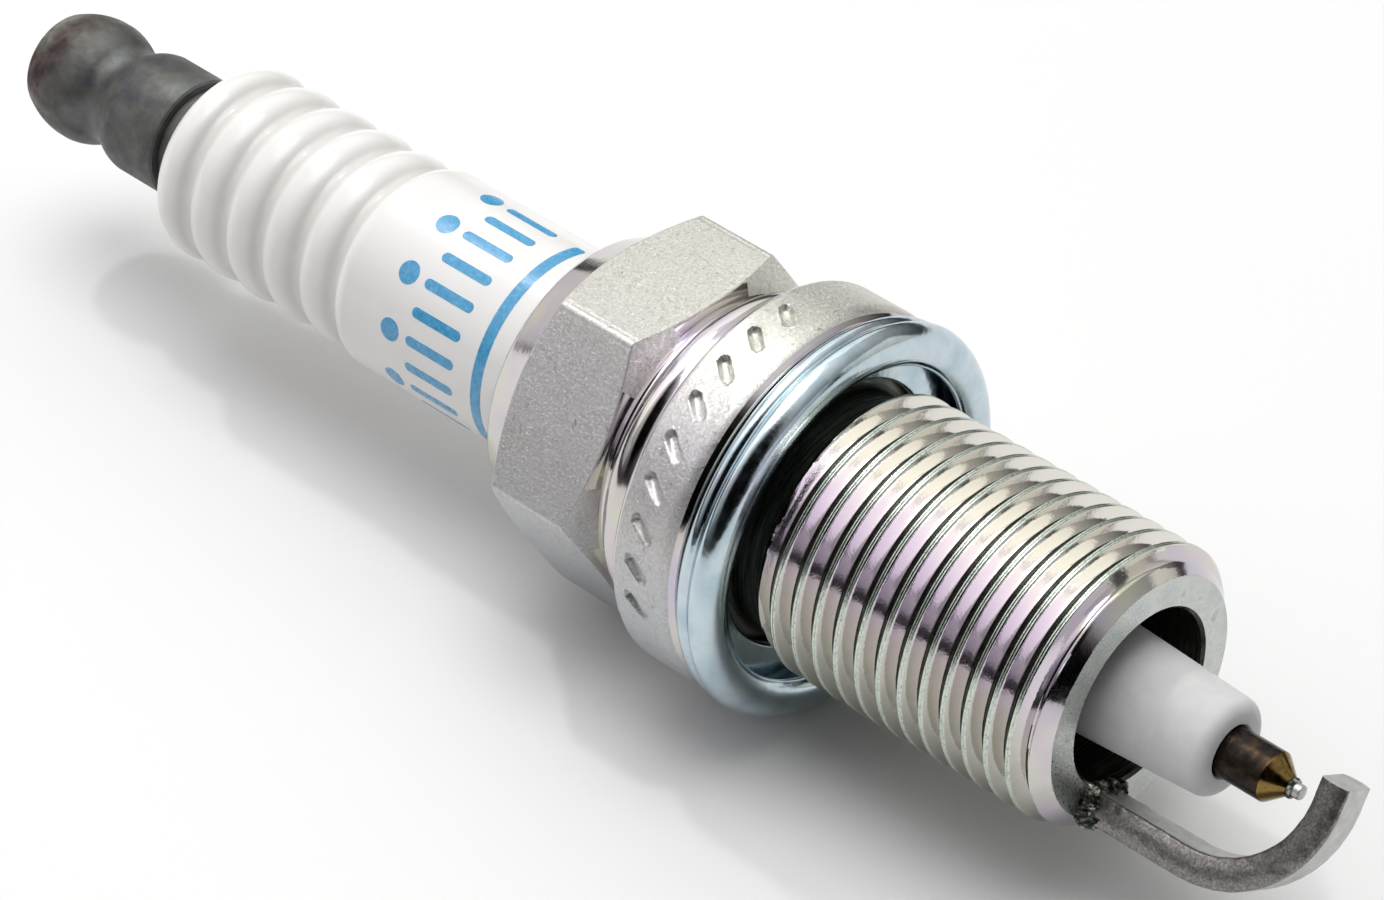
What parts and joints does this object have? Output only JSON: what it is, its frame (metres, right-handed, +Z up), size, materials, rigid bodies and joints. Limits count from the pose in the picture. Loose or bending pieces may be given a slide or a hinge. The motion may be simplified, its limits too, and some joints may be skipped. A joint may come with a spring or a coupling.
{
  "type": "spark plug",
  "caption": "Spark plug with ribbed ceramic insulator, hex metal shell, folded captive gasket, long threaded reach and fine-wire firing end.",
  "frame": {"origin": "on the plug's axis, in the plane of the shell's gasket seat", "axes": "+X along the axis towards the firing end, +Z up with the plug lying on its side"},
  "size_m": [0.081, 0.0198, 0.0198],
  "materials": {
    "plated_steel": "bright zinc-nickel plating, satin on the flats",
    "glazed_alumina": "white gloss glaze",
    "terminal_steel": "dark matte oxide",
    "packing_steel": "plain drawn wire",
    "talc": "pressed powder",
    "glass_seal": "fired conductive glass",
    "resistor_mix": "fired carbon and glass",
    "nickel": "heat-darkened nickel alloy",
    "copper": "soft copper",
    "noble_metal": "bright iridium",
    "strap_nickel": "dull drawn nickel alloy",
    "weld_metal": "rough fused metal",
    "gasket_steel": "bright zinc plating"
  },
  "bodies": {
    "plug": {"shell": "plated_steel", "insulator": "glazed_alumina", "upper_packing_ring": "packing_steel", "lower_packing_ring": "packing_steel", "talc_filling": "talc", "seat_washer": "packing_steel", "terminal_nut": "terminal_steel", "terminal_stud": "terminal_steel", "upper_glass_seal": "glass_seal", "resistor": "resistor_mix", "lower_glass_seal": "glass_seal", "center_electrode": "nickel", "center_electrode_core": "copper", "center_tip_weld": "weld_metal", "center_tip": "noble_metal", "ground_electrode": "strap_nickel", "ground_electrode_weld": "weld_metal", "ground_tip_pad": "noble_metal"},
    "gasket_ring": {"gasket": "gasket_steel"}
  },
  "joints": [
    {"name": "gasket_float", "type": "slide", "parent": "plug", "child": "gasket_ring", "axis": [1, 0, 0], "range_m": [-0.0002, 0.0012]}
  ]
}
